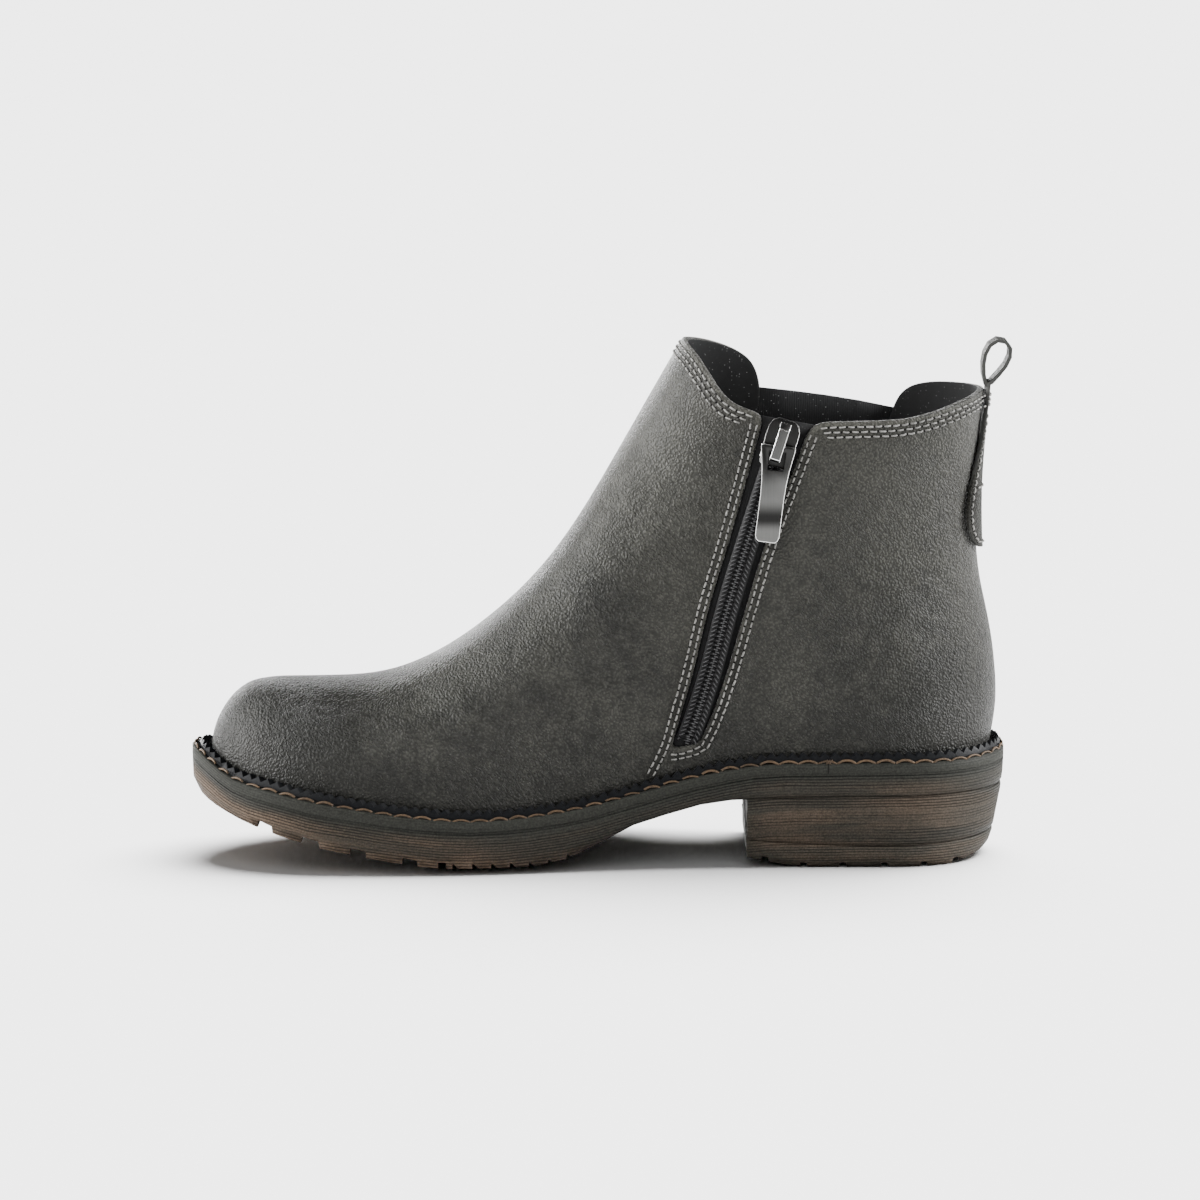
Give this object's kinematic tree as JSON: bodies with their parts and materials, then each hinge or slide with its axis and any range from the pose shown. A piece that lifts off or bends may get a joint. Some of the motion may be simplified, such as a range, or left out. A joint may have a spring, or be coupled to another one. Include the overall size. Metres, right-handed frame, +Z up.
{
  "type": "ankle bootie",
  "caption": "Right-foot ankle bootie with a hollow leather upper, side zip, elastic gore, heel pull loop and a welted lugged sole with a low block heel.",
  "frame": {"origin": "on the floor plane, under the middle of the whole shoe", "axes": "toe to -X, heel to +X, inner side with the zip to -Y, outer side with the gore to +Y, +Z up"},
  "size_m": [0.2718, 0.0982, 0.1725],
  "materials": {
    "upper_leather": "vintage grey leather look, fine grain, half matt",
    "insole_fabric": "black textile",
    "outsole_rubber": "brown, finely striated sides",
    "heel_rubber": "brown, finely striated sides",
    "lift_rubber": "dark brown, matt",
    "welt_rubber": "dark grey, matt",
    "bead_plastic": "black, toothed edge",
    "gore_elastic": "black ribbed elastic",
    "tape_fabric": "black woven tape",
    "coil_plastic": "black coil",
    "slider_metal": "dark nickel",
    "tab_metal": "dark nickel with bright edges",
    "loop_leather": "grey leather look strap"
  },
  "bodies": {
    "boot": {"upper": "upper_leather", "insole": "insole_fabric", "outsole": "outsole_rubber", "heel_block": "heel_rubber", "heel_top_lift": "lift_rubber", "welt": "welt_rubber", "welt_bead": "bead_plastic", "gore": "gore_elastic", "zip_tape": "tape_fabric", "zip_coil": "coil_plastic", "zip_slider": "slider_metal", "pull_loop": "loop_leather"},
    "pull_tab": {"zip_pull_tab": "tab_metal"}
  },
  "joints": [
    {"name": "pull_tab_hinge", "type": "hinge", "parent": "boot", "child": "pull_tab", "pos_m": [0.0579, -0.03821, 0.13987], "axis": [-0.9915, 0.0458, 0.1217], "range_deg": [0, 120]}
  ]
}
